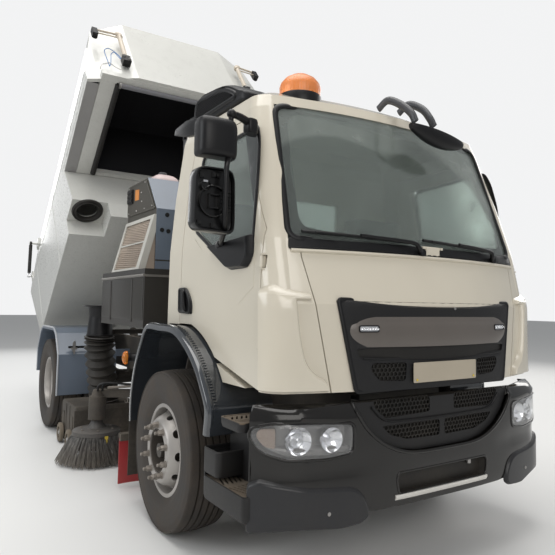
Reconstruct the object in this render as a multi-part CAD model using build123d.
"""Street sweeper truck: two-axle cab-over chassis, tipped hopper, sweep gear on both sides."""

from build123d import *
import math
import os

os.makedirs("parts", exist_ok=True)

# Millimetres. The truck faces -Y, its own left is +X and +Z is up.
# Y is counted from the front axle while modelling, and moved to the middle of the whole at the end.

# Wheels: 295/80 R22.5 tyres on 22.5 inch rims
WHEELBASE = 3750
TYRE_R = 522
TYRE_W = 296
TREAD_W = 262
SHOULDER_DROP = 10
TYRE_WALL = 22
BEAD_R = 286
RIM_W = 236
FLANGE_R = 298
RIM_WALL = 11
WELL_R = 262
STUD_CIRCLE = 335
STUD_COUNT = 10
STUD_R = 11
STUD_OUT = 48
HUB_R = 138
DISC_T = 13
DISC_FACE = 165
HAND_HOLES = 10
HAND_HOLE_R = 28
FRONT_TRACK = 2066
REAR_OUTER_X = 1080
TWIN_PITCH = 330
SPINDLE_R = 45
RUNNING_FIT = 0.05
GAP = 0.3
PANEL_GAP = 6

# How far the rear gear stands back from y as its tables give it, for a rear axle at 3750
AFT = WHEELBASE - 3750

# Chassis frame
RAIL_OUT = 430
RAIL_FLANGE = 72
RAIL_WEB = 8
RAIL_LOW = 715
RAIL_TOP = 975
RAIL_FRONT = -1060
RAIL_REAR = WHEELBASE + 630
CROSS_T = 90
SUBFRAME_TOP = 1090
SUBFRAME_FRONT = WHEELBASE - 2420
SUBFRAME_REAR = WHEELBASE + 580
SPRING_END_Z = 680
FRONT_SPRING_SEAT = 560
REAR_SPRING_SEAT = 620
# y, low z and high z of each cross member
CROSS_MEMBERS = ((-1000, 740, 900), (640, 740, 900), (1500, 740, 900), (WHEELBASE - 1300, 740, 900),
                 (WHEELBASE - 560, 690, 900), (WHEELBASE + 500, 740, 900))
UNDERRUN_HALF = 1150
UNDERRUN_Y = WHEELBASE + 650
UNDERRUN_LOW = 430
HINGE_R = 35
HINGE_HALF = 590
EAR_T = 14
EAR_PITCH = 64
AXLE_TUBE_R = 62
AXLE_TUBE_HALF = 560
DIFF_X = 40
DIFF_R = 185
BEAM_FLAT = 640
FORK_GAP = 4
FORK_T = 40
BRAKE_R = 190
BALL_R = 12
TIE_ROD_Z = 360
OPEN_SLACK = 5
BEAM_Z = 400
BEAM_H = 110
BEAM_W = 100
SPRING_X = 395
SPRING_W = 70
LEAF_T = 16
LEAVES = 3
FRONT_SPRING_HALF = 760
REAR_SPRING_HALF = 590
KINGPIN_X = 850
KINGPIN_R = 22
FIST_R = 48
FIST_H = 150
STEER_ARM_BACK = 190
TIE_ROD_R = 17

# Cab
CAB_WALL = 45
CAB_FLOOR = 1040
CAB_HALF = 1065
CAB_REAR = 235
NOSE = 1392
ROOF_Z = 2805
ARCH_R = 850
ARCH_TOP = 1351
ARCH_IN = 700
TUNNEL_HALF = 400
TUNNEL_TOP = 1330
HATCH_SKIN = 18
GLASS_T = 6
GLASS_INSET = 10

HATCH_RECESS = 27
HATCH_HINGE = (-1300, 1845)
DOOR_PIN = (1068, -1100)
DOOR_PIN_R = 7
DOOR_HINGE_LOWS = (1200, 1690)
DOOR_HINGE_H = 60
HATCH_PIN_R = 6
TUNNEL_FRONT = -1150
DOOR_IN = 880
# z, half width, nose y, shoulder x, shoulder y, side y, rear y
CAB_SECTIONS = (
    (1040, 1065, -1392, 960, -1238, -1105, 235), (1500, 1065, -1385, 955, -1230, -1105, 235),
    (1850, 1062, -1290, 950, -1150, -1040, 235), (2240, 1030, -1165, 925, -1030, -920, 235),
    (2660, 975, -1010, 895, -880, -770, 235), (2740, 955, -975, 880, -850, -740, 215),
    (2805, 850, -850, 780, -740, -640, 130),
)
# y, z round the door opening, the door panel a gap inside it, the side window and its glass
DOOR_LOOP = (
    (-1095, 1000), (-1095, 1900), (-1050, 1990), (-800, 2560), (-740, 2600), (10, 2600), (10, 1300),
)
DOOR_PANEL = (
    (-1089, 1046), (-1089, 1899), (-1045, 1987), (-796, 2555), (-738, 2594), (4, 2594), (4, 1306),
)
SIDE_WINDOW = ((-195, 1915), (-160, 2490), (-790, 2510), (-985, 2080), (-1010, 1600), (-842, 1505))
SIDE_GLASS = ((-195.3, 1915.2), (-160.3, 2489.7), (-789.8, 2509.7), (-984.7, 2080), (-1009.7, 1600.2), (-842, 1505.4))
# x, z of half outlines, from the middle line outwards
SCREEN_LOOP = ((939, 1845), (880, 2675))
SCREEN_GLASS = ((938.7, 1845.3), (879.7, 2674.7))
HATCH_LOOP = ((748, 1024), (880, 1750), (880, 1836))
HATCH_PANEL = ((742, 1030), (874, 1750), (874, 1830))
GRILLE_LOOP = ((619, 1036), (719, 1526))

# Front end below the cab
BUMPER_END = -930
TOW_X = 394
TOW_Z = 665
TOW_R = 16
TOW_DEEP = 140
PLATE_W = 524
PLATE_H = 115
PLATE_Z = 1128
# x, y from the middle to the corner
BUMPER_PLAN = ((0, -1400), (600, -1375), (1000, -1280), (1130, -1180), (1190, -1050))
LAMP_LOOP = ((640, 720), (640, 880), (1040, 900), (1090, 860), (1060, 760), (980, 710))
LAMP_FILL = ((640.3, 720.3), (640.3, 879.7), (1040, 899.7), (1089.6, 860), (1059.7, 760.2), (980, 710.3))
LOWER_GRILLE_LOOP = ((220, 692), (350, 714), (470, 768), (565, 845), (628, 935), (650, 1000))
LOWER_GRILLE_FILL = ((220, 692.3), (349.9, 714.3), (469.8, 768.2), (564.8, 845.1), (627.7, 935), (649.6, 999.7))
SLOT_HALF = 372
SLOT_Z = (488, 598)
SLOT_DEEP = 46
# y, z round the wing over a front wheel
WING_LOOP = (
    (-724, 751), (-740, 905), (-664, 1028), (-560, 1141), (-400, 1250), (-190, 1332), (345, 1335), (470, 1210),
    (590, 1020), (660, 800), (660, 600), (620, 600), (618, 800), (552, 1000), (440, 1180), (325, 1295),
    (-180, 1292), (-380, 1212), (-534, 1110), (-632, 1005), (-700, 900), (-684, 751),
)
BUMPER_LOW = 365
BUMPER_TOP = 985
BUMPER_T = 60
WING_OUT = 1190
WING_IN = 760
STEP_OUT = 1185
DUCT_LOW = 1560
DUCT_REAR = 400
BEACON_R = 135
BEACON_AT = (-625, -775)

# Hopper, given lowered on the frame and turned to its tipped place
TIP = 39.8
HINGE_Y = 4250
HINGE_Z = 1000
HOP_HALF = 1175
HOP_LOW = 1250
HOP_FOLD_Z = 2330
HOP_EDGE_X = 1030
HOP_EDGE_Z = 3160
HOP_RIDGE_X = 650
HOP_TOP = 3340
HOP_FRONT = 950
HOP_CORNER_Y = 1100
HOP_WALL = 40
COWL_LOW = 2130
COWL_REAR = 2380
FRONT_WALL_Y = 2230
RECESS_TOP = 1475
RECESS_REAR = 2580
RECESS_IN = 780
TAIL_MID_Y = 4920
TAIL_MID_Z = 2470
ROOF_REAR_Y = 4720
COWL_OPEN_HALF = 857
COWL_OPEN_FRONT = 1047
COWL_OPEN_REAR = 2336
COWL_RIM = 70
LINER_T = 25
PORT_X = 980
PORT_Y = 2400
PORT_R = 150

# x, y of the plan of the hopper's nose; x, z of its section; y, z of its side
HOP_PLAN = ((HOP_RIDGE_X, HOP_FRONT), (HOP_HALF, HOP_CORNER_Y), (HOP_HALF, 5100))
HOP_SECTION = ((HOP_HALF, HOP_LOW), (HOP_HALF, HOP_FOLD_Z), (HOP_EDGE_X, HOP_EDGE_Z), (HOP_RIDGE_X, HOP_TOP))
HOP_UPPER_INSIDE = (
    (HOP_HALF - HOP_WALL, HOP_FOLD_Z - 8), (HOP_EDGE_X - 36, HOP_EDGE_Z - 28), (HOP_RIDGE_X - 18, HOP_TOP - HOP_WALL),
)
HOP_INSIDE = ((HOP_HALF - HOP_WALL, HOP_LOW + HOP_WALL), *HOP_UPPER_INSIDE)
HOP_SIDE = (
    (HOP_FRONT, COWL_LOW), (HOP_FRONT, HOP_TOP), (ROOF_REAR_Y, HOP_TOP), (ROOF_REAR_Y, 3200), (4718, 3100),
    (4840, TAIL_MID_Z), (4390, HOP_LOW), (FRONT_WALL_Y + 20, HOP_LOW), (FRONT_WALL_Y + 20, RECESS_TOP),
    (COWL_REAR, COWL_LOW),
)
LOAD_SIDE = (
    (COWL_REAR + 45, COWL_LOW), (COWL_REAR + 45, HOP_TOP - HOP_WALL), (5000, HOP_TOP - HOP_WALL),
    (5000, HOP_LOW + HOP_WALL), (FRONT_WALL_Y + 62, HOP_LOW + HOP_WALL), (FRONT_WALL_Y + 62, RECESS_TOP),
)
TAIL_SIDE = (
    (4470, HOP_LOW + 5), (TAIL_MID_Y, TAIL_MID_Z), (4790, 3110), (4725, 3095), (4845, TAIL_MID_Z), (4397, HOP_LOW + 5),
)
COWL_INSIDE = ((HOP_HALF - HOP_WALL, COWL_LOW - 30), *HOP_UPPER_INSIDE)
HOP_EAR_IN = 450
HOP_EAR_OUT = 560
RUNNER_X = (300, 345)
RUNNER_LOW = 1105

# Tip rams and tail door rams
TIP_RAM_X = 200
TIP_RAM_FOOT = (3300, 700)
TIP_RAM_EYE = (3860, 1200)
TIP_RAM_R = 50
TIP_ROD_R = 30
DOOR_RAM_X = HOP_HALF + 7
DOOR_RAM_FOOT = (4520, 3000)
DOOR_RAM_EYE = (4860, 2640)
DOOR_RAM_R = 24
DOOR_ROD_R = 14
DOOR_HINGE = (4775, 3150)
PIN_R = 15
TIP_BARREL = (40, 640)
TIP_ROD = (690, 100)
DOOR_BARREL = (24, 450)
DOOR_ROD = (440, 36)

# Engine module behind the cab
MODULE_FRONT = 1300
MODULE_REAR = 2150
MODULE_MID = 1500
MODULE_TOP = 2680
MODULE_HALF = 800
MODULE_FOOT_HALF = 440

# Spare wheel, and the tanks round it
SPARE_X = 610
SPARE_Y = 980
SPARE_Z = 965
TANK_REAR = MODULE_REAR - 100 + AFT

# y, z round a rear mudguard
GUARD_LOOP = (
    (3110, 450), (3110, 900), (3290, 1130), (3420, 1185), (4080, 1185), (4210, 1130), (4390, 900), (4390, 600),
    (4360, 600), (4360, 890), (4190, 1105), (4070, 1155), (3430, 1155), (3310, 1105), (3140, 890), (3140, 450),
)

# Sweep gear
ARM_X = 560
ARM_Y = SPARE_Y + 670
FUEL_REAR = ARM_Y - 360
BRUSH_X = 1090
BRUSH_Y = ARM_Y + 280
BRUSH_DISC_R = 215
BRUSH_DISC_Z = 262
BRUSH_TIP_R = 370
BRUSH_TIP_Z = 8
BRUSH_ROOT_R = 185
NOZZLE_X = 880
NOZZLE_FRONT = BRUSH_Y + 420
NOZZLE_REAR = WHEELBASE - 800
BELLOWS_R = 155

made = {}


def block(x, y, z):
    """A block between pairs of low and high values."""
    size = Box(x[1] - x[0], y[1] - y[0], z[1] - z[0])
    return Pos((x[0] + x[1]) / 2, (y[0] + y[1]) / 2, (z[0] + z[1]) / 2) * size


def outline(points, spot):
    """A flat face through points, each turned into a place in space by spot."""
    return make_face(Polyline(*[spot(*p) for p in points], close=True))


def side_prism(points, low, high):
    """An outline of (y, z) points carried across the truck from x low to x high."""
    return extrude(outline(points, lambda y, z: (low, y, z)), amount=high - low, dir=(1, 0, 0))


def front_prism(points, low, high):
    """An outline of (x, z) points carried along the truck from y low to y high."""
    return extrude(outline(points, lambda x, z: (x, low, z)), amount=high - low, dir=(0, 1, 0))


def plan_prism(points, low, high):
    """An outline of (x, y) points carried up from z low to z high."""
    return extrude(outline(points, lambda x, y: (x, y, low)), amount=high - low, dir=(0, 0, 1))


def bar(start, end, radius):
    """A round bar from one point to another."""
    a, b = Vector(*start), Vector(*end)
    return Solid.make_cylinder(radius, (b - a).length, Plane(origin=a, z_dir=b - a))


def across(radius, low, high, y, z):
    """A round bar along X."""
    return bar((low, y, z), (high, y, z), radius)


def mirrored(points):
    """The (x, z) half outline and its mirror image, as one loop."""
    return list(points) + [(-x, z) for x, z in reversed(points)]


def other_side(shape):
    return mirror(shape, about=Plane.YZ)


def both(shape):
    """A shape on the truck's right and its twin on the left, not fused."""
    return [shape, other_side(shape)]


def turned(points):
    """A ring about the X axis from an (x, r) outline."""
    face = make_face(Polyline(*[(x, r, 0) for x, r in points], close=True))
    return revolve(face, Axis.X)


def keep(name, *shapes, back=0.0):
    """Collects the solids of one node, moved back along the truck."""
    solids = []
    for shape in shapes:
        for item in shape if isinstance(shape, (list, tuple)) else [shape]:
            solids += [Pos(0, back, 0) * solid for solid in item.solids()]
    made[name] = solids


# Tyres and rims

def tyre():
    """One tyre about the origin: beads, bulged walls, rounded shoulders and a crowned tread."""
    half = TYRE_W / 2
    tread = TREAD_W / 2
    bead = RIM_W / 2 - RIM_WALL - GAP
    outer = [
        (-bead, BEAD_R + GAP), (-bead, FLANGE_R + 3), (-half + 4, BEAD_R + 50), (-half, (BEAD_R + TYRE_R) / 2),
        (-half + 6, TYRE_R - 70), (-tread, TYRE_R - SHOULDER_DROP - 8), (-tread + 14, TYRE_R - SHOULDER_DROP / 2),
        (0, TYRE_R),
    ]
    inner = [
        (0, TYRE_R - TYRE_WALL - 8), (-tread + 20, TYRE_R - TYRE_WALL - 14),
        (-half + TYRE_WALL, (BEAD_R + TYRE_R) / 2), (-bead + TYRE_WALL, BEAD_R + 12), (-bead + TYRE_WALL, BEAD_R + GAP),
    ]
    right = [(-x, r) for x, r in reversed(outer[:-1])]
    left_in = [(-x, r) for x, r in reversed(inner[1:])]
    return turned(outer + right + left_in + inner)


def rim(hub_low, hub_high):
    """A rim with its dished disc, hub and studs about the origin, the disc's bolting face at +DISC_FACE."""
    half = RIM_W / 2
    barrel = turned([
        (-half, FLANGE_R), (-half + RIM_WALL, FLANGE_R), (-half + RIM_WALL, BEAD_R), (-44, BEAD_R - 4),
        (-30, WELL_R), (30, WELL_R), (44, BEAD_R - 4), (half - RIM_WALL, BEAD_R), (half - RIM_WALL, FLANGE_R),
        (half, FLANGE_R), (half, BEAD_R - RIM_WALL), (46, BEAD_R - 6 - RIM_WALL), (34, WELL_R - RIM_WALL),
        (-34, WELL_R - RIM_WALL), (-46, BEAD_R - 6 - RIM_WALL), (-half, BEAD_R - RIM_WALL),
    ])
    seat_r = STUD_CIRCLE / 2 + 32
    land = WELL_R - RIM_WALL + 2
    disc = turned([
        (DISC_FACE, HUB_R - 6), (DISC_FACE, seat_r), (72, land), (20, land), (20, land - DISC_T),
        (66, land - DISC_T), (DISC_FACE - DISC_T, seat_r - 8), (DISC_FACE - DISC_T, HUB_R - 6),
    ])
    middle_r = (seat_r + land) / 2
    hole = bar((40, 0, middle_r), (DISC_FACE + 10, 0, middle_r), HAND_HOLE_R)
    disc -= [hole.rotate(Axis.X, (i + 0.5) * 360 / HAND_HOLES) for i in range(HAND_HOLES)]
    hub = turned([
        (hub_low, SPINDLE_R + RUNNING_FIT), (hub_low, HUB_R), (hub_high, HUB_R), (hub_high, HUB_R - 22),
        (hub_high - 45, HUB_R - 34), (hub_high - 45, 60), (hub_high - 20, 52), (hub_high - 20, SPINDLE_R + RUNNING_FIT),
    ])
    studs = []
    for i in range(STUD_COUNT):
        stud = bar((DISC_FACE - DISC_T, 0, STUD_CIRCLE / 2), (DISC_FACE + STUD_OUT, 0, STUD_CIRCLE / 2), STUD_R)
        studs.append(stud.rotate(Axis.X, i * 360 / STUD_COUNT))
    return barrel + [disc, hub, *studs]


def wheel_at(shape, sign, x, y, flip=False):
    """A wheel piece at its axle end on side sign; flip turns its disc to face inwards."""
    outward = sign < 0 if not flip else sign > 0
    return Pos(sign * x, y, TYRE_R) * (other_side(shape) if outward else shape)


front_x = FRONT_TRACK / 2
inner_x = REAR_OUTER_X - TWIN_PITCH
one_tyre = tyre()
front_rim = rim(-78, DISC_FACE + 12)
inner_rim = rim(10, DISC_FACE)
outer_rim = rim(-40, DISC_FACE)
for side, sign in (("right", -1), ("left", 1)):
    keep("tyre_front_" + side, wheel_at(one_tyre, sign, front_x, 0))
    keep("rim_front_" + side, wheel_at(front_rim, sign, front_x, 0))
    keep("tyres_rear_" + side, wheel_at(one_tyre, sign, REAR_OUTER_X, WHEELBASE),
         wheel_at(one_tyre, sign, inner_x, WHEELBASE))
    twin = wheel_at(outer_rim, sign, REAR_OUTER_X, WHEELBASE, flip=True)
    keep("rims_rear_" + side, twin + wheel_at(inner_rim, sign, inner_x, WHEELBASE))


# Chassis frame with its cross members, subframe, spring hangers and hinge tube

def rails():
    c_section = [
        (RAIL_OUT, RAIL_LOW), (RAIL_OUT, RAIL_TOP), (RAIL_OUT - RAIL_FLANGE, RAIL_TOP),
        (RAIL_OUT - RAIL_FLANGE, RAIL_TOP - RAIL_WEB), (RAIL_OUT - RAIL_WEB, RAIL_TOP - RAIL_WEB),
        (RAIL_OUT - RAIL_WEB, RAIL_LOW + RAIL_WEB), (RAIL_OUT - RAIL_FLANGE, RAIL_LOW + RAIL_WEB),
        (RAIL_OUT - RAIL_FLANGE, RAIL_LOW),
    ]
    one = front_prism(c_section, RAIL_FRONT, RAIL_REAR)
    sub = block((RAIL_OUT - RAIL_FLANGE, RAIL_OUT), (SUBFRAME_FRONT, SUBFRAME_REAR), (RAIL_TOP, SUBFRAME_TOP))
    pieces = [sub]
    for middle, half, low in ((0, FRONT_SPRING_HALF, SPRING_END_Z), (WHEELBASE, REAR_SPRING_HALF, SPRING_END_Z)):
        for end in (-1, 1):
            y = middle + end * half
            pieces.append(block((SPRING_X - SPRING_W / 2, SPRING_X + SPRING_W / 2), (y - 35, y + 35), (low, RAIL_LOW)))
    half_frame = one + pieces
    frame = half_frame + other_side(half_frame)
    crosses = []
    for y, low, high in CROSS_MEMBERS:
        crosses.append(block((RAIL_WEB - RAIL_OUT, RAIL_OUT - RAIL_WEB), (y - CROSS_T / 2, y + CROSS_T / 2), (low, high)))
    foot_y, foot_z = TIP_RAM_FOOT[0] + AFT, TIP_RAM_FOOT[1]
    ear = side_prism([(foot_y - 90, foot_z + 90), (foot_y - 90, foot_z - 30), (foot_y + 20, foot_z - 36),
                      (foot_y + 40, foot_z), (foot_y + 20, foot_z + 36)], -EAR_T / 2, EAR_T / 2)
    for x in (-TIP_RAM_X, TIP_RAM_X):
        for offset in (-EAR_PITCH / 2, EAR_PITCH / 2):
            crosses.append(Pos(x + offset, 0, 0) * ear)
        crosses.append(across(PIN_R, x - EAR_PITCH / 2, x + EAR_PITCH / 2, foot_y, foot_z))
    crosses.append(across(HINGE_R, -HINGE_HALF, HINGE_HALF, HINGE_Y + AFT, HINGE_Z))
    underrun = block((-UNDERRUN_HALF, UNDERRUN_HALF), (UNDERRUN_Y, UNDERRUN_Y + 90), (UNDERRUN_LOW, UNDERRUN_LOW + 120))
    crosses.append(underrun)
    drop = [(RAIL_REAR - 160, RAIL_LOW + 60), (RAIL_REAR, RAIL_LOW + 60), (UNDERRUN_Y + 60, UNDERRUN_LOW + 110),
            (UNDERRUN_Y + 10, UNDERRUN_LOW + 50), (RAIL_REAR - 160, RAIL_LOW)]
    crosses += both(side_prism(drop, 250, 330))
    for y in (-560, 150):
        crosses += both(block((RAIL_OUT - RAIL_FLANGE, RAIL_OUT), (y - 60, y + 60), (RAIL_TOP - 4, CAB_FLOOR - GAP)))
    return frame + crosses


def leaf_pack(y_mid, half, z_seat, z_end, x):
    """Curved leaves: each is the band between two arcs, the lower ones shorter."""
    packs = []
    for i in range(LEAVES):
        reach = half * (1 - 0.28 * i)
        rise = (z_end - z_seat) * (reach / half) ** 2
        low = z_seat - i * LEAF_T
        with_arc = [
            ThreePointArc((x, y_mid - reach, low + rise), (x, y_mid, low), (x, y_mid + reach, low + rise)),
            Line((x, y_mid + reach, low + rise), (x, y_mid + reach, low + rise + LEAF_T)),
            ThreePointArc((x, y_mid + reach, low + rise + LEAF_T), (x, y_mid, low + LEAF_T),
                          (x, y_mid - reach, low + rise + LEAF_T)),
            Line((x, y_mid - reach, low + rise + LEAF_T), (x, y_mid - reach, low + rise)),
        ]
        face = make_face(Wire(with_arc))
        packs.append(extrude(face, amount=SPRING_W, dir=(1, 0, 0)))
    return packs


def front_axle():
    beam = front_prism(mirrored([
        (BEAM_FLAT, BEAM_Z - BEAM_H / 2), (KINGPIN_X - FIST_R + 6, TYRE_R - FIST_H / 2 + 20),
        (KINGPIN_X - FIST_R + 6, TYRE_R + FIST_H / 2 - 20), (KINGPIN_X - FIST_R - 30, TYRE_R + FIST_H / 2 - 20),
        (BEAM_FLAT - 20, BEAM_Z + BEAM_H / 2),
    ]), -BEAM_W / 2, BEAM_W / 2)
    pieces = []
    for sign in (-1, 1):
        x = sign * KINGPIN_X
        pieces.append(bar((x, 0, TYRE_R - FIST_H / 2), (x, 0, TYRE_R + FIST_H / 2), FIST_R))
        left = sign * SPRING_X - SPRING_W / 2
        pieces.append(block((left, left + SPRING_W), (-60, 60), (BEAM_Z, FRONT_SPRING_SEAT - LEAVES * LEAF_T + 20)))
        pieces += leaf_pack(0, FRONT_SPRING_HALF, FRONT_SPRING_SEAT, SPRING_END_Z - LEAF_T - GAP, left)
    axle = beam + pieces
    for sign in (-1, 1):
        x = sign * KINGPIN_X
        axle -= bar((x, 0, 0), (x, 0, 1000), KINGPIN_R + RUNNING_FIT)
    return axle


def rear_axle():
    """Axle tube with its final drive bulge, stub spindles and springs."""
    tube = across(AXLE_TUBE_R, -AXLE_TUBE_HALF, AXLE_TUBE_HALF, WHEELBASE, TYRE_R)
    bulge = Pos(0, WHEELBASE, TYRE_R) * turned([
        (DIFF_X - DIFF_R, 0), (DIFF_X - DIFF_R + 20, 80), (DIFF_X - 80, DIFF_R - 20), (DIFF_X, DIFF_R),
        (DIFF_X + 80, DIFF_R - 20), (DIFF_X + DIFF_R - 20, 80), (DIFF_X + DIFF_R, 0),
    ])
    nose = bar((DIFF_X, WHEELBASE - DIFF_R - 90, TYRE_R), (DIFF_X, WHEELBASE, TYRE_R), 85)
    spindle = across(SPINDLE_R, -REAR_OUTER_X + 45, REAR_OUTER_X - 45, WHEELBASE, TYRE_R)
    pieces = [bulge, nose, spindle]
    for sign in (-1, 1):
        left = sign * SPRING_X - SPRING_W / 2
        seat = (TYRE_R, REAR_SPRING_SEAT - LEAVES * LEAF_T + 20)
        pieces.append(block((left, left + SPRING_W), (WHEELBASE - 60, WHEELBASE + 60), seat))
        pieces += leaf_pack(WHEELBASE, REAR_SPRING_HALF, REAR_SPRING_SEAT, SPRING_END_Z - LEAF_T - GAP, left)
    return tube + pieces


keep("chassis_frame", rails())
keep("front_axle", front_axle())
keep("rear_axle", rear_axle())


# Steering knuckles and the tie rod between their arms

def knuckle():
    """The left knuckle: a fork round the axle fist, kingpin, spindle, brake plate and steering arm."""
    top = TYRE_R + FIST_H / 2 + FORK_GAP
    low = TYRE_R - FIST_H / 2 - FORK_GAP
    web_in = KINGPIN_X + FIST_R + FORK_GAP * 2
    upper = block((KINGPIN_X - 45, web_in + 30), (-45, 45), (top, top + FORK_T))
    lower = block((KINGPIN_X - 45, web_in + 30), (-45, 45), (low - FORK_T, low))
    web = block((web_in, web_in + 30), (-60, 60), (low - FORK_T, top + FORK_T))
    pin = bar((KINGPIN_X, 0, low - FORK_T), (KINGPIN_X, 0, top + FORK_T), KINGPIN_R)
    spindle = across(SPINDLE_R, web_in, front_x + DISC_FACE - 12, 0, TYRE_R)
    plate = across(BRAKE_R, web_in + 30, front_x - 78 - 6, 0, TYRE_R)
    arm = block((KINGPIN_X - 30, KINGPIN_X + 30), (40, STEER_ARM_BACK + 25), (low - FORK_T, low - 8))
    ball = bar((KINGPIN_X, STEER_ARM_BACK, TIE_ROD_Z - 20), (KINGPIN_X, STEER_ARM_BACK, low - FORK_T), BALL_R)
    return upper + [lower, web, pin, spindle, plate, arm, ball]


def tie_rod():
    eyes = []
    for sign, slack in ((-1, RUNNING_FIT), (1, OPEN_SLACK)):
        x = sign * KINGPIN_X
        eye = bar((x, STEER_ARM_BACK, TIE_ROD_Z - 18), (x, STEER_ARM_BACK, TIE_ROD_Z + 18), BALL_R + OPEN_SLACK + 9)
        eyes.append(eye - bar((x, STEER_ARM_BACK, TIE_ROD_Z - 40), (x, STEER_ARM_BACK, TIE_ROD_Z + 40), BALL_R + slack))
    reach = KINGPIN_X - BALL_R - OPEN_SLACK - 4
    return across(TIE_ROD_R, -reach, reach, STEER_ARM_BACK, TIE_ROD_Z) + eyes


one_knuckle = knuckle()
keep("knuckle_left", one_knuckle)
keep("knuckle_right", other_side(one_knuckle))
keep("tie_rod", tie_rod())


# Cab: one loft for the outside, the same loft inset for the inside

def cab_form(inset=0.0, low=CAB_FLOOR, high=ROOF_Z):
    """The cab's outside form, or the same form drawn in by inset all round between two heights."""
    wires = []
    for z, half, nose, shoulder_x, shoulder_y, side_y, rear in CAB_SECTIONS:
        z = low + (z - CAB_FLOOR) * (high - low) / (ROOF_Z - CAB_FLOOR)
        h, n, r = half - inset, nose + inset, rear - inset
        sx, sy, dy = shoulder_x - inset * 0.7, shoulder_y + inset * 0.9, side_y + inset * 0.6
        right = TangentArc((-h, dy, z), (-sx, sy, z), tangent=(0, -1, 0))
        left = TangentArc((h, dy, z), (sx, sy, z), tangent=(0, -1, 0))
        front = ThreePointArc((-sx, sy, z), (0, n, z), (sx, sy, z))
        sides = [Line((-h, r, z), (-h, dy, z)), right, front, left, Line((h, dy, z), (h, r, z)), Line((h, r, z), (-h, r, z))]
        wires.append(make_face(Wire(sides)))
    return loft(wires, ruled=True)


def arch_space(grow):
    """The room over a front wheel, on both sides."""
    round_part = across(ARCH_R + grow, ARCH_IN - grow, CAB_HALF + 60, 0, TYRE_R)
    slab = block((ARCH_IN - grow, CAB_HALF + 60), (-ARCH_R - 100, CAB_REAR + 60), (0, ARCH_TOP + grow))
    rear_part = block((ARCH_IN - grow, CAB_HALF + 60), (0, CAB_REAR + 60), (900, ARCH_TOP + grow))
    one = round_part & slab
    return both(one + rear_part)


outer = cab_form()
inner = cab_form(CAB_WALL, CAB_FLOOR + CAB_WALL, ROOF_Z - CAB_WALL)
tunnel = block((-TUNNEL_HALF, TUNNEL_HALF), (TUNNEL_FRONT, CAB_REAR + 10), (CAB_FLOOR - 10, TUNNEL_TOP))
bump = block((-TUNNEL_HALF - CAB_WALL, TUNNEL_HALF + CAB_WALL), (TUNNEL_FRONT - CAB_WALL, CAB_REAR + 10),
             (CAB_FLOOR - 10, TUNNEL_TOP + CAB_WALL))
inner = inner - [bump, *arch_space(CAB_WALL)]

door_cut = side_prism(DOOR_LOOP, DOOR_IN, CAB_HALF + 40)
arch_arc = arch_space(0)
window = side_prism(SIDE_WINDOW, DOOR_IN - 20, CAB_HALF + 60)
windscreen = front_prism(mirrored(SCREEN_LOOP), -NOSE - 50, -560)
rear_window = block((-420, 420), (CAB_REAR - 90, CAB_REAR + 60), (1900, 2350))
hatch_room = front_prism(mirrored(HATCH_LOOP), -NOSE - 60, -900)
recess = (outer - cab_form(HATCH_RECESS)) & hatch_room

wall = outer - inner
shell = wall - [tunnel, *arch_arc, *both(door_cut), windscreen, rear_window, recess]
shell -= block((-62, 62), (-1330, -1284), (1825, 1862))
lug = block((66, 84), (-1310, -1283), (1838, 1853))
hinge_y, hinge_z = HATCH_HINGE
shell = shell + both(lug) + across(HATCH_PIN_R, -80, 80, hinge_y, hinge_z)
for low in DOOR_HINGE_LOWS:
    high = low + DOOR_HINGE_H
    x, y = DOOR_PIN
    notch = block((x - 44, x + 22), (y - 22, y + 10), (low - 4, high + 4))
    shell -= both(notch)
    shell += both(bar((x, y, low - 14), (x, y, high + 14), DOOR_PIN_R))
    for spot in (low - 14, high + 4):
        shell += both(block((x - 44, x + 10), (y - 14, y + 4), (spot, spot + 10)))
keep("cab_shell", shell)

# Doors are the same wall inside the door outline, a panel gap smaller
door_small = side_prism(DOOR_PANEL, DOOR_IN + PANEL_GAP, CAB_HALF + 40)
left_door = (wall & door_small) - [arch_space(PANEL_GAP)[0], window]
glass_band = cab_form(GLASS_INSET) - cab_form(GLASS_INSET + GLASS_T)
left_glass = glass_band & side_prism(SIDE_GLASS, DOOR_IN, CAB_HALF + 60)
x, y = DOOR_PIN
for low in DOOR_HINGE_LOWS:
    high = low + DOOR_HINGE_H
    ear = block((x - 28, x + 6), (y - 2, y + 34), (low, high)) + bar((x, y, low), (x, y, high), DOOR_PIN_R + 4)
    left_door = left_door + ear - bar((x, y, low - 30), (x, y, high + 30), DOOR_PIN_R + RUNNING_FIT)
handle = block((CAB_HALF + GAP, CAB_HALF + 32), (-210, -10), (1450, 1580))
keep("door_left", left_door)
keep("door_right", other_side(left_door))
keep("door_glass_left", left_glass)
keep("door_glass_right", other_side(left_glass))
keep("cab_glass", glass_band & front_prism(mirrored(SCREEN_GLASS), -NOSE - 50, -560),
     block((-419.7, 419.7), (CAB_REAR - 22, CAB_REAR - 16), (1900.3, 2349.7)))

# Mirror foot on each door. The right one carries two housings on a tube, the left one has lost its mirrors
def mirror_foot():
    foot = side_prism([(-1000, 1750), (-1040, 1850), (-900, 1862), (-620, 1845), (-760, 1750)],
                      CAB_HALF - 25, CAB_HALF + 50)
    return foot - cab_form(-GAP)


def door_mirrors():
    upper = block((1190, 1430), (-1060, -940), (2260, 2480))
    lower = block((1190, 1430), (-1060, -960), (1870, 2230))
    arm = block((1199, 1231), (-1016, -984), (1820, 2502)) + block((1080, 1210), (-1012, -988), (2472, 2498))
    leg = block((CAB_HALF + 20, 1210), (-1012, -988), (1824, 1850))
    return arm + [upper, lower, leg] - cab_form(-GAP) + mirror_foot()


keep("mirrors_left", mirror_foot(), handle)
keep("mirrors_right", other_side(door_mirrors()), other_side(handle))

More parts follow.
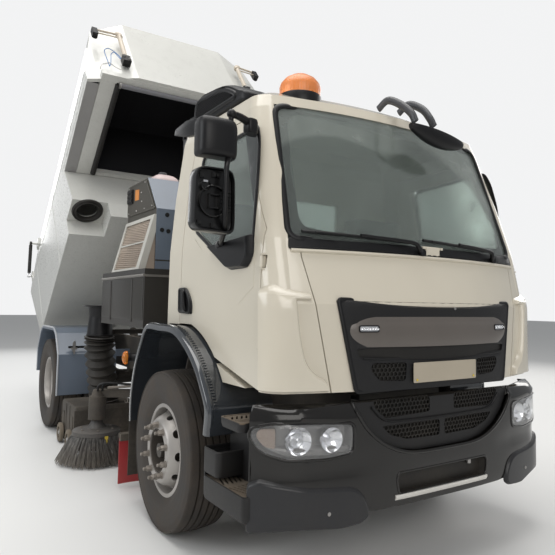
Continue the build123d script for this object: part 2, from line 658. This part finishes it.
# Hatch below the windscreen and the grille panel on it
hatch_skin = (outer - cab_form(HATCH_SKIN)) & front_prism(mirrored(HATCH_PANEL), -NOSE - 60, -900)
ear = across(10, -56, 56, hinge_y, hinge_z) + block((-56, 56), (-1309, -1296), (1800, 1845))
hatch_skin = hatch_skin + ear - across(HATCH_PIN_R + RUNNING_FIT, -90, 90, hinge_y, hinge_z)
keep("front_hatch", hatch_skin)
grille_face = (cab_form(-12) - cab_form(-GAP)) & front_prism(mirrored(GRILLE_LOOP), -NOSE - 80, -1000)
plate_back = block((-PLATE_W / 2, PLATE_W / 2), (-NOSE - 22, -NOSE - 8), (PLATE_Z - PLATE_H / 2, PLATE_Z + PLATE_H / 2))
keep("hatch_grille", grille_face + plate_back)

# Inside the cab: dashboard, two seats and the steering wheel on the truck's right
dash = side_prism([(-1180, 1450), (-1180, 1700), (-900, 1760), (-820, 1640), (-900, 1440)], -960, 960)
dash = dash & cab_form(CAB_WALL + GAP, CAB_FLOOR + CAB_WALL, ROOF_Z - CAB_WALL)
fittings = [dash]
for x in (-600, 600):
    seat = block((x - 240, x + 240), (-560, -60), (1400, 1540)) + block((x - 230, x + 230), (-130, 20), (1540, 2200))
    column = block((x - 180, x + 140 if x < 0 else x + 180), (-480, -120), (ARCH_TOP + CAB_WALL + GAP, 1400))
    fittings.append(seat + column)
wheel_ring = Pos(-600, -760, 1760) * Rot(-62, 0, 0) * Torus(215, 16)
spokes = [wheel_ring, bar((-600, -760, 1760), (-600, -900, 1690), 30)]
for reach in (-205, 205):
    spokes.append(bar((-600, -760, 1760), (-600 + reach, -760, 1760), 12))
fittings.append(spokes[0] + spokes[1:])
keep("cab_interior", *fittings)


# Bumper, lamps, lower grille, wings, steps and flaps

def bumper_band(out, inward):
    """The band between the bumper's plan curve moved out and the same curve moved in."""
    outer_line = [(x + (out if x > 900 else 0), y - out) for x, y in BUMPER_PLAN]
    inner_line = [(x - (inward if x > 900 else 0), y + inward) for x, y in BUMPER_PLAN]
    ends = [(outer_line[-1][0], BUMPER_END), (inner_line[-1][0], BUMPER_END)]
    half = outer_line + ends + list(reversed(inner_line))
    one = plan_prism(half, BUMPER_LOW, BUMPER_TOP)
    return one + other_side(one)


lamp_hole = front_prism(LAMP_LOOP, -NOSE - 100, -900)
lower_hole = front_prism(mirrored(LOWER_GRILLE_LOOP), -NOSE - 100, -1200)
slot = block((-SLOT_HALF, SLOT_HALF), (-NOSE - 60, -NOSE - 8 + SLOT_DEEP), SLOT_Z)
bumper = bumper_band(0, BUMPER_T) - [*both(lamp_hole), lower_hole, slot]
arms = block((RAIL_OUT - RAIL_FLANGE, RAIL_OUT), (-NOSE + 40, RAIL_FRONT - GAP), (625, 815))
tow_holes = both(bar((TOW_X, -NOSE - 100, TOW_Z), (TOW_X, -NOSE + TOW_DEEP, TOW_Z), TOW_R))
lamps = bumper_band(2, BUMPER_T - 6) & front_prism(LAMP_FILL, -NOSE - 100, -900)
keep("headlamps", *both(lamps))
lower_fill = bumper_band(-6, 30) & front_prism(mirrored(LOWER_GRILLE_FILL), -NOSE - 100, -1200)
keep("front_bumper", bumper + both(arms) - tow_holes, lower_fill)

wing = side_prism(WING_LOOP, WING_IN, WING_OUT)
keep("front_wings", *both(wing))
flap = block((800, 1180), (660 + GAP, 670), (190, 700))
keep("mud_flaps", *both(flap))

tread = block((890, STEP_OUT), (BUMPER_END + GAP, -700), (430, 530))
top_tread = block((890, STEP_OUT - 35), (BUMPER_END + GAP, -760), (850, 890))
step_back = block((890, 930), (BUMPER_END + GAP, -760), (430, 890))
wing_ledge = block((890, 1130), (-780, -690), (720, 751 - GAP))
step_stay = block((RAIL_OUT + GAP, 900), (-900, -850), (740, 830))
keep("step_boxes", *both(tread + [top_tread, step_back, wing_ledge, step_stay]))

roof_clear = cab_form(-GAP)
scoop = side_prism([(120, 2740), (120, 2985), (-100, 2975), (-420, 2935), (-670, 2790), (-670, 2740)], -975, -720)
scoop_neck = block((-930, -720), (100, DUCT_REAR), (2740, 2880))
duct = block((-930, -720), (CAB_REAR + 8, DUCT_REAR), (DUCT_LOW, 2800))
keep("snorkel", scoop + [scoop_neck, duct] - roof_clear)
beacon_half = [(0, 0, 2740), (BEACON_R, 0, 2740), (BEACON_R, 0, 2860), (BEACON_R - 30, 0, 2915), (60, 0, 2946), (0, 0, 2952)]
beacon_form = revolve(make_face(Polyline(*beacon_half, close=True)), Axis.Z)
keep("beacon", Pos(*BEACON_AT, 0) * beacon_form - roof_clear)
mirror_head = front_prism([(-75, 2600), (-60, 2628), (150, 2640), (385, 2592), (390, 2575), (300, 2540), (150, 2535),
                           (0, 2570)], -1255, -1145)
arm_loop = [(-900, 2720), (-940, 2835), (-1005, 2872), (-1090, 2838), (-1190, 2700), (-1215, 2600), (-1170, 2600),
            (-1150, 2680), (-1065, 2792), (-1000, 2824), (-975, 2808), (-950, 2720)]
mirror_arms = [side_prism(arm_loop, x - 25, x + 25) for x in (-60, 100)]
keep("front_mirror", mirror_head + mirror_arms - roof_clear)


# Power unit, radiator and shaft as plain blocks

engine = block((-330, 330), (-750, 450), (640, 1250)) + block((-340, 340), (-1040, -960), (930, 1270))
engine += [block((-300, 300), (-960, -740), (950, 1200)), block((-150, 150), (450, 590), (660, 960))]
shaft = bar((DIFF_X, 560, 690), (DIFF_X, WHEELBASE - DIFF_R - 60, TYRE_R), 38)
shaft -= block((-100, 200), (WHEELBASE - DIFF_R - 90 - GAP, WHEELBASE), (300, 900))
keep("power_unit", engine + shaft)


# Hopper, modelled lowered and turned about its hinge to the tipped place

def tipped(shape):
    return shape.rotate(Axis((0, HINGE_Y, HINGE_Z), (1, 0, 0)), -TIP)


def tipped_point(y, z):
    a = math.radians(TIP)
    dy, dz = y - HINGE_Y, z - HINGE_Z
    return HINGE_Y + dy * math.cos(a) + dz * math.sin(a), HINGE_Z - dy * math.sin(a) + dz * math.cos(a)


def hopper_form():
    side = side_prism(HOP_SIDE, -HOP_HALF, HOP_HALF)
    section = front_prism(mirrored(HOP_SECTION), 900, 5100)
    plan = plan_prism(mirrored(HOP_PLAN), 1000, 3400)
    return side & section & plan


def load_space():
    room = side_prism(LOAD_SIDE, -HOP_HALF, HOP_HALF) & front_prism(mirrored(HOP_INSIDE), 2200, 5100)
    wells = [block((RECESS_IN - HOP_WALL, HOP_HALF), (2200, RECESS_REAR + HOP_WALL), (1200, RECESS_TOP + HOP_WALL))]
    wells.append(other_side(wells[0]))
    return room - wells


def cowl_space():
    """The room in the overhanging nose, open below round the rim frame."""
    skin = 40
    plan = [(HOP_RIDGE_X - 20, HOP_FRONT + skin), (HOP_HALF - skin, HOP_CORNER_Y + skin - 10), (HOP_HALF - skin, 2385)]
    room = plan_prism(mirrored(plan), COWL_LOW - 10, HOP_TOP) & front_prism(mirrored(COWL_INSIDE), 900, 2400)
    return room


body = hopper_form()
pockets = both(block((RECESS_IN, HOP_HALF + 10), (2200, RECESS_REAR), (HOP_LOW - 10, RECESS_TOP)))
ports = both(bar((PORT_X, PORT_Y, RECESS_TOP - 10), (PORT_X, PORT_Y, RECESS_TOP + HOP_WALL + 10), PORT_R - 30))
body = body - [*pockets, load_space(), cowl_space(), *ports]
ears = both(side_prism([(4160, HOP_LOW + 10), (4190, 990), (4215, 955), (4285, 955), (4310, 990), (4340, HOP_LOW + 10)],
                       HOP_EAR_IN, HOP_EAR_OUT))
runners = both(block(RUNNER_X, (2300, 4160), (RUNNER_LOW, HOP_LOW + 5)))
cross_rib = block((-RUNNER_X[1], RUNNER_X[1]), (2900, 2960), (RUNNER_LOW + 20, HOP_LOW + 5))
eye_y, eye_z = TIP_RAM_EYE
ram_ears = []
for x in (-TIP_RAM_X, TIP_RAM_X):
    for offset in (-EAR_PITCH / 2, EAR_PITCH / 2):
        ear = side_prism([(eye_y - 70, HOP_LOW + 5), (eye_y - 30, eye_z - 30), (eye_y + 30, eye_z - 30),
                          (eye_y + 70, HOP_LOW + 5)], x + offset - EAR_T / 2, x + offset + EAR_T / 2)
        ram_ears.append(ear)
    for out in (-EAR_PITCH / 2 - 16, EAR_PITCH / 2 + 6):
        ram_ears.append(across(PIN_R + 7, x + out, x + out + 10, eye_y, eye_z))
body = body + [*ears, *runners, cross_rib, *ram_ears]
body -= across(HINGE_R + RUNNING_FIT, -HINGE_HALF - 20, HINGE_HALF + 20, HINGE_Y, HINGE_Z)

# Cowl liner: the foam lined box round the intake with its white rim frame
liner_box = block((-COWL_OPEN_HALF - LINER_T, COWL_OPEN_HALF + LINER_T),
                  (COWL_OPEN_FRONT - LINER_T, COWL_OPEN_REAR + LINER_T), (COWL_LOW, 3200))
rim_frame = block((-COWL_OPEN_HALF - 128, COWL_OPEN_HALF + 128), (COWL_OPEN_FRONT - 52, COWL_OPEN_REAR + 44), (COWL_LOW, COWL_LOW + COWL_RIM))
liner = (liner_box + rim_frame) & cowl_space()
liner -= block((-COWL_OPEN_HALF, COWL_OPEN_HALF), (COWL_OPEN_FRONT, COWL_OPEN_REAR), (COWL_LOW - 20, 3175))

# Tail door with hinge arms, hung from lugs below the roof
door_form = side_prism(TAIL_SIDE, -HOP_HALF, HOP_HALF) & front_prism(mirrored(HOP_SECTION), 4300, 5100)
hinge_y, hinge_z = DOOR_HINGE
arm_loop = [(4760, 3020), (4795, 3020), (4812, 3150), (4800, 3175), (4750, 3175), (4742, 3150)]
door_arms = [side_prism(arm_loop, x - 25, x + 25) for x in (-700, 700)]
eye_y, eye_z = DOOR_RAM_EYE
eye_stub = across(PIN_R + 7, HOP_HALF - 115, DOOR_RAM_X - 30, eye_y, eye_z)
stub_root = side_prism([(4826, 2560), (4895, 2560), (4880, 2700), (4818, 2700)], HOP_HALF - 115, HOP_HALF - 35)
tail_door = door_form + [*door_arms, *both(eye_stub), *both(stub_root)]
tail_door -= across(PIN_R + RUNNING_FIT, -800, 800, hinge_y, hinge_z)

lugs = []
for x in (-700, 700):
    for offset in (-48, 48):
        lug = side_prism([(4560, 3290), (4560, 3200), (4750, 3118), (4785, 3118), (4806, 3140), (4810, 3170),
                          (4790, 3290)], x + offset - 12, x + offset + 12)
        lugs.append(lug)
    lugs.append(across(PIN_R, x - 60, x + 60, hinge_y, hinge_z))
foot_y, foot_z = DOOR_RAM_FOOT
foot_stub = across(PIN_R, HOP_HALF - 145, DOOR_RAM_X + 22, foot_y, foot_z)
foot_plate = block((1030, 1092), (foot_y - 70, foot_y + 70), (foot_z - 60, foot_z + 60))
roof_tail = block((-HOP_RIDGE_X + 30, HOP_RIDGE_X - 30), (4560, 4820), (3290, 3330))
body = body + [*lugs, roof_tail, *both(foot_stub), *both(foot_plate)]

brackets = []
for sign in (-1, 1):
    far = (sign * 1059, 984, 2858)
    joint = (sign * 792, 919, 2814)
    root = (sign * 700, 975, 2700)
    brackets.append(bar(joint, far, 16) + bar(root, joint, 16) - hopper_form())

keep("hopper_body", tipped(body), back=AFT)
keep("hopper_cowl", tipped(liner), back=AFT)
keep("hopper_door", tipped(tail_door), back=AFT)
keep("hopper_fittings", *[tipped(b) for b in brackets], back=AFT)


# Rams, each modelled along its own line between the two pins

def along(start, end, x, inner, outer):
    """A round bar on the line from start to end in the plane at x, from inner to outer; radius comes last."""
    dy, dz = end[0] - start[0], end[1] - start[1]
    size = math.hypot(dy, dz)
    a = (x, start[0] + dy * inner[0] / size, start[1] + dz * inner[0] / size)
    b = (x, start[0] + dy * inner[1] / size, start[1] + dz * inner[1] / size)
    return bar(a, b, outer)


def barrel(foot, eye, x, span, radius, rod_r, width):
    tube = along(foot, eye, x, span, radius)
    size = math.hypot(eye[0] - foot[0], eye[1] - foot[1])
    bore = along(foot, eye, x, (span[0] + 12, size), rod_r + RUNNING_FIT)
    boss = across(PIN_R + 14, x - width, x + width, foot[0], foot[1])
    neck = along(foot, eye, x, (0, span[0] + 12), PIN_R)
    return boss + [tube, neck] - [bore, across(PIN_R + RUNNING_FIT, x - 60, x + 60, foot[0], foot[1])]


def rod(foot, eye, x, span, radius, width, pin_half):
    """A rod with its eye and the pin in it; nothing else crosses the eye, so it may drift between its ears."""
    size = math.hypot(eye[0] - foot[0], eye[1] - foot[1])
    stem = along(foot, eye, x, (size - span[0], size - span[1]), radius)
    neck = along(foot, eye, x, (size - span[1] - 14, size), radius * 0.7)
    boss = across(PIN_R + 12, x - width, x + width, eye[0], eye[1])
    return boss + [stem, neck, across(PIN_R, x - pin_half, x + pin_half, eye[0], eye[1])]


tip_eye = tipped_point(*TIP_RAM_EYE)
barrels, rods = [], []
for x in (-TIP_RAM_X, TIP_RAM_X):
    barrels.append(barrel(TIP_RAM_FOOT, tip_eye, x, TIP_BARREL, TIP_RAM_R, TIP_ROD_R, 22))
    rods.append(rod(TIP_RAM_FOOT, tip_eye, x, TIP_ROD, TIP_ROD_R, 22, 24))
keep("tip_ram_barrels", *barrels, back=AFT)
keep("tip_ram_rods", *rods, back=AFT)
door_foot, door_eye = tipped_point(*DOOR_RAM_FOOT), tipped_point(*DOOR_RAM_EYE)
barrels, rods = [], []
for x in (-DOOR_RAM_X, DOOR_RAM_X):
    barrels.append(barrel(door_foot, door_eye, x, DOOR_BARREL, DOOR_RAM_R, DOOR_ROD_R, 14))
    rods.append(rod(door_foot, door_eye, x, DOOR_ROD, DOOR_ROD_R, 14, 26))
keep("door_ram_barrels", *barrels, back=AFT)
keep("door_ram_rods", *rods, back=AFT)


# Engine module behind the cab, under the tipped cowl

upper = side_prism([(MODULE_FRONT, MODULE_MID), (MODULE_FRONT, 2350), (1570, MODULE_TOP), (MODULE_REAR, MODULE_TOP),
                    (MODULE_REAR, MODULE_MID)], -MODULE_HALF, MODULE_HALF)
lower = block((-MODULE_FOOT_HALF, MODULE_FOOT_HALF), (MODULE_FRONT + 30, MODULE_REAR), (SUBFRAME_TOP + GAP, MODULE_MID))
keep("engine_module", upper + lower, back=AFT)
radiator = front_prism([(-930, 1790), (-MODULE_HALF - GAP, 2298), (-MODULE_HALF - GAP, 1790)], MODULE_FRONT + 10, MODULE_REAR)
keep("module_radiator", radiator, back=AFT)

# Tanks: a long side tank on the truck's right, fuel tank and air bottles on its left
tank_in = MODULE_HALF + 6
stay_y = (MODULE_FRONT + 260 + AFT, MODULE_FRONT + 320 + AFT)
side_tank = block((-tank_in - 250, -tank_in), (800, TANK_REAR), (1290, 1770))
tank_stay = block((-tank_in - 4, -MODULE_FOOT_HALF - GAP), stay_y, (1300, 1360))
side_left = block((tank_in, tank_in + 250), (900, TANK_REAR), (1290, 1770))
tank_stay_left = block((MODULE_FOOT_HALF + GAP, tank_in + 4), stay_y, (1300, 1360))
fuel = block((470, 1060), (700, FUEL_REAR), (560, 1060))
fuel_stay = block((RAIL_OUT + GAP, 480), (760, FUEL_REAR - 50), (760, 860))
keep("tanks", side_tank + tank_stay, side_left + tank_stay_left, fuel + fuel_stay)

# Spare wheel flat against the right rail
spare_at = Pos(-SPARE_X, SPARE_Y, SPARE_Z)
keep("spare_tyre", spare_at * one_tyre)
spare_rim = rim(10, DISC_FACE)
keep("spare_rim", spare_at * other_side(spare_rim),
     bar((-SPARE_X - 60, SPARE_Y, SPARE_Z), (-RAIL_OUT - GAP, SPARE_Y, SPARE_Z), SPINDLE_R - 1))

# Suction line on each side: cone under the hopper port, bellows and nozzle on jockey wheels
cone_y = PORT_Y - 30
cone_parts, bellow_parts, nozzle_parts = [], [], []
lip = Pos(-PORT_X, cone_y, 1452) * Cylinder(172, 14)
tube = Pos(-PORT_X, cone_y, 1300) * Cone(PORT_R + 5, PORT_R - 16, 300)
bore = Pos(-PORT_X, cone_y, 1300) * Cone(PORT_R - 5, PORT_R - 26, 340)
stay = block((-850, -RAIL_OUT - GAP), (cone_y - 30, cone_y + 30), (1160, 1210))
post = block((-RAIL_OUT - 40, -RAIL_OUT - GAP), (cone_y - 30, cone_y + 30), (1000, 1210))
cone_parts = lip + [tube, stay, post] - bore
slant = Vector(-NOZZLE_X + 20, (NOZZLE_FRONT + NOZZLE_REAR) / 2 - 110, 455)
top = Vector(-PORT_X, cone_y + AFT, 1148)
bellows = bar(tuple(top), tuple(slant), BELLOWS_R) - bar(tuple(top + (top - slant) * 0.1), tuple(slant - (top - slant) * 0.1),
                                                         BELLOWS_R - 25)
nozzle = block((-1200, -560), (NOZZLE_FRONT, NOZZLE_REAR), (100, 440))
nozzle += block((-1200, -570), (NOZZLE_FRONT + 10, NOZZLE_REAR - 10), (30, 125))
nozzle -= block((-1170, -590), (NOZZLE_FRONT + 30, NOZZLE_REAR - 30), (10, 400))
jockeys = []
for y in (NOZZLE_FRONT + 100, NOZZLE_REAR - 100):
    jockeys.append(across(100, -1246, -1206, y, 104))
    jockeys.append(across(18, -1210, -1195, y, 104))
nozzle = nozzle + jockeys
around = (cone_y + AFT - 400, NOZZLE_REAR + 200)
bellows -= block((-1300, -400), around, (0, 440 + GAP))
bellows -= block((-1300, -400), around, (1150 - GAP, 1400))
keep("suction_cones", *both(cone_parts), back=AFT)
keep("suction_bellows", *both(bellows))
keep("suction_nozzles", *both(nozzle))

# Brushes: arm swung on a post at the rail, disc and splayed bristles
def brush_arm():
    post_bore = bar((-ARM_X, ARM_Y, 560), (-ARM_X, ARM_Y, 700), 34 + RUNNING_FIT)
    hub = bar((-ARM_X, ARM_Y, 570), (-ARM_X, ARM_Y, 690), 60)
    beam = plan_prism([(-ARM_X, ARM_Y - 40), (-BRUSH_X + 60, BRUSH_Y - 60), (-BRUSH_X - 40, BRUSH_Y - 10),
                       (-BRUSH_X - 20, BRUSH_Y + 50), (-BRUSH_X + 60, BRUSH_Y + 40), (-ARM_X, ARM_Y + 40)], 590, 660)
    motor = bar((-BRUSH_X, BRUSH_Y, 390), (-BRUSH_X, BRUSH_Y, 600), 80)
    stub = bar((-BRUSH_X, BRUSH_Y, 300), (-BRUSH_X, BRUSH_Y, 400), 20)
    return hub + [beam, motor, stub] - post_bore


def brush():
    """Disc and a hollow cone of bristles, turned about the upright line through the brush."""
    ring = [
        (BRUSH_ROOT_R - 30, BRUSH_DISC_Z), (BRUSH_ROOT_R + 10, BRUSH_DISC_Z), (BRUSH_TIP_R, BRUSH_TIP_Z + 22),
        (BRUSH_TIP_R - 18, BRUSH_TIP_Z), (BRUSH_TIP_R - 46, BRUSH_TIP_Z),
    ]
    bristles = revolve(make_face(Polyline(*[(r, 0, z) for r, z in ring], close=True)), Axis.Z)
    disc = bar((0, 0, BRUSH_DISC_Z - 1), (0, 0, BRUSH_DISC_Z + 36), BRUSH_DISC_R)
    hub = bar((0, 0, BRUSH_DISC_Z - 60), (0, 0, 380), 48)
    hole = bar((0, 0, 0), (0, 0, 500), 20 + RUNNING_FIT)
    whole = disc + [hub, bristles] - hole
    return Pos(-BRUSH_X, BRUSH_Y, 0) * whole


arm_post = block((-ARM_X - 46, -RAIL_OUT - GAP), (ARM_Y - 46, ARM_Y + 46), (700 + 6, 800))
arm_post += block((-ARM_X - 46, -RAIL_OUT - GAP), (ARM_Y - 46, ARM_Y + 46), (500, 564))
arm_post += [block((-RAIL_OUT - 30, -RAIL_OUT - GAP), (ARM_Y - 46, ARM_Y + 46), (500, 800)),
             bar((-ARM_X, ARM_Y, 520), (-ARM_X, ARM_Y, 760), 34)]
one_arm = brush_arm()
one_brush = brush()
keep("brush_arm_right", one_arm)
keep("brush_arm_left", other_side(one_arm))
keep("brush_right", one_brush)
keep("brush_left", other_side(one_brush))

# Rubber flap ahead of each brush, rear mudguards and rear lamps
flap_bar = block((-1150, -RAIL_OUT - GAP), (960, 1000), (380, 435))
flap_bar += block((-RAIL_OUT - 28, -RAIL_OUT - GAP), (960, 1000), (380, 750))
red_flap = block((-1150, -620), (1000 + GAP, 1012), (30, 435))
keep("sweep_brackets", *both(arm_post), *both(flap_bar))
keep("red_flaps", *both(red_flap))
guard = side_prism(GUARD_LOOP, 590, 1236)
guard_stays = [block((RAIL_OUT + GAP, 600), (3112, 3148), (860, 940)), block((RAIL_OUT + GAP, 600), (4300, 4340), (860, 940))]
keep("rear_mudguards", *both(guard + guard_stays), back=AFT)
rear_lamp = block((700, 1040), (UNDERRUN_Y + 90 + GAP, UNDERRUN_Y + 130), (UNDERRUN_LOW + 10, UNDERRUN_LOW + 110))
keep("rear_lamps", *both(rear_lamp))

# The origin is under the middle of the whole, on the ground
boxes = [solid.bounding_box() for solids in made.values() for solid in solids]
fore, aft = min(box.min.Y for box in boxes), max(box.max.Y for box in boxes)
middle = round((fore + aft) / 2, 3)
print("y from", fore, "to", aft, "moved by", -middle, "top", max(box.max.Z for box in boxes))
for name, solids in made.items():
    placed = [Pos(0, -middle, 0) * solid for solid in solids]
    export_step(Compound(children=placed) if len(placed) > 1 else placed[0], "parts/" + name + ".step")
